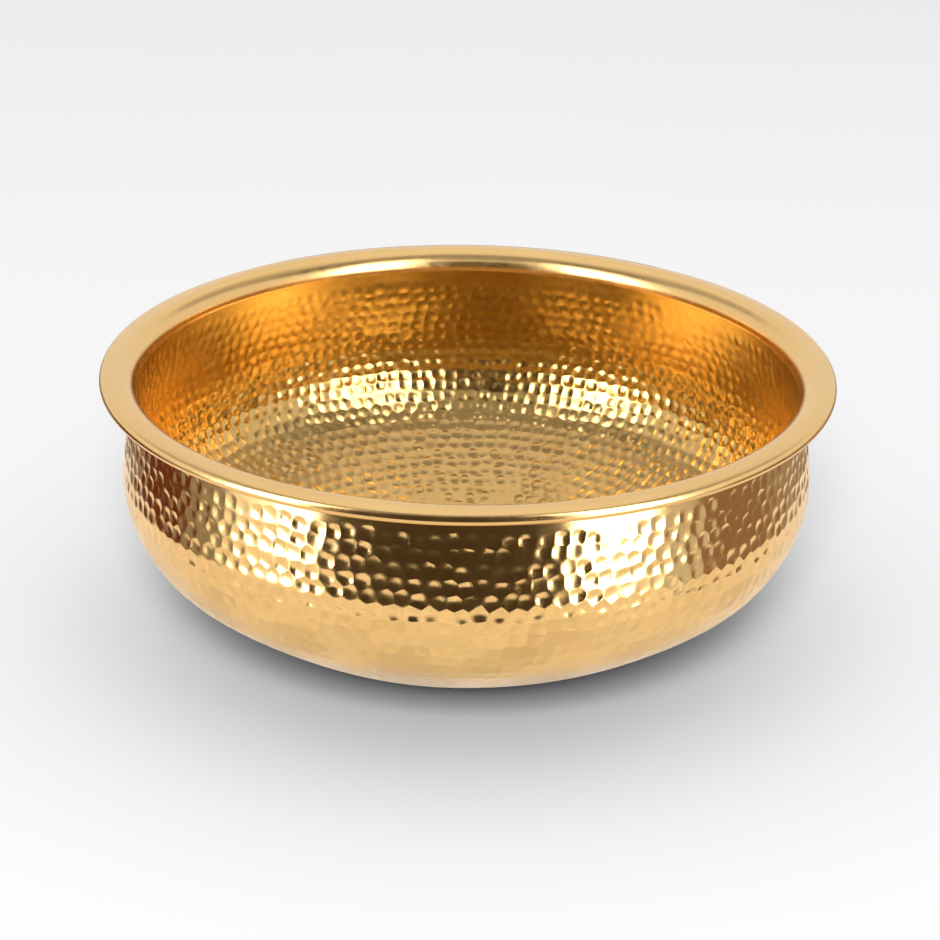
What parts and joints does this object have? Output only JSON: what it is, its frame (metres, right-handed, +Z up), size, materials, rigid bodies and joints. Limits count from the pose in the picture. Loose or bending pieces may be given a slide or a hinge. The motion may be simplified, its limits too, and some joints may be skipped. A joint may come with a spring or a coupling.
{
  "type": "urli bowl",
  "caption": "Wide, shallow hammered brass bowl with a rounded belly, a small flat base and a smooth flared lip with a rolled edge.",
  "frame": {"origin": "centre of the flat base, on the surface that the bowl stands on", "axes": "+Z up along the bowl's axis, towards its mouth; X and Y are level and interchangeable"},
  "size_m": [0.26, 0.26, 0.1],
  "materials": {
    "hammered_brass": "polished, hammered",
    "polished_brass": "polished, smooth",
    "wire": "drawn",
    "braze": "as brazed"
  },
  "bodies": {
    "root": {"bowl_body": "hammered_brass", "rim_collar": "polished_brass", "rim_wire": "wire", "braze_seam": "braze"}
  },
  "joints": []
}
